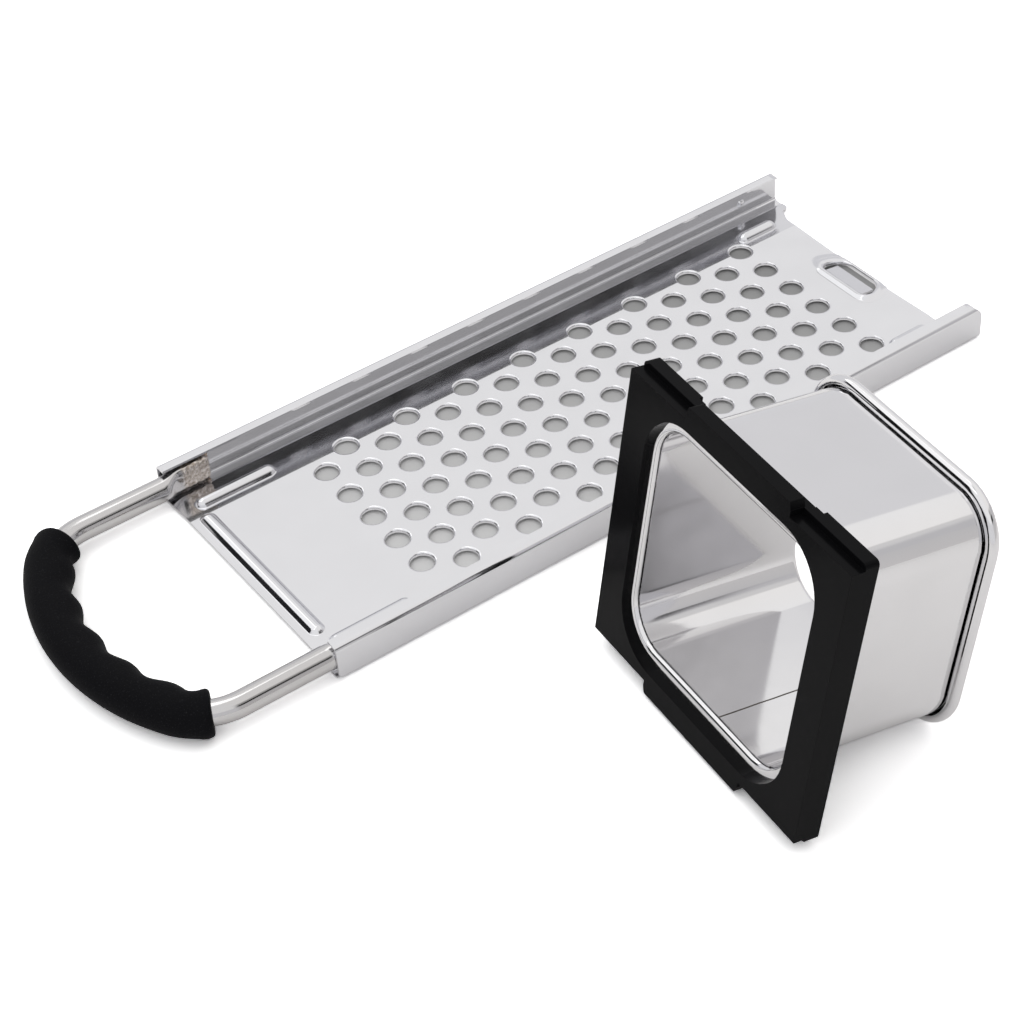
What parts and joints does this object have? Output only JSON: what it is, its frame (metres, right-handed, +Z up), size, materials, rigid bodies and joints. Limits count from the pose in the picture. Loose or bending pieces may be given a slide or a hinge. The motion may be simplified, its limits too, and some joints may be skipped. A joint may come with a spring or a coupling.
{
  "type": "spaetzle maker",
  "caption": "Perforated steel board with folded rails, pot hook and looped handle, with its square hopper for batter standing beside it.",
  "frame": {"origin": "centre of the whole part's footprint, on the surface that the board and the hopper stand on", "axes": "+X along the rails from the handle to the pot hook, +Y across the board away from the hopper, +Z up from the table"},
  "size_m": [0.3168, 0.2378, 0.0984],
  "materials": {
    "board_steel": "polished",
    "tube_steel": "polished",
    "weld_steel": "satin, heat tinted",
    "cup_steel": "polished",
    "soft_grip": "matt, faintly grained",
    "black_plastic": "glossy"
  },
  "bodies": {
    "board": {"perforated_board": "board_steel", "handle_tube": "tube_steel", "grip_sleeve": "soft_grip", "left_leg_weld": "weld_steel", "right_leg_weld": "weld_steel"},
    "hopper": {"slide_frame": "black_plastic", "hopper_cup": "cup_steel"}
  },
  "joints": [
    {"name": "hopper_slide", "type": "slide", "parent": "board", "child": "hopper", "axis": [1, 0, 0], "range_m": [-0.0252, 0.0748]}
  ]
}
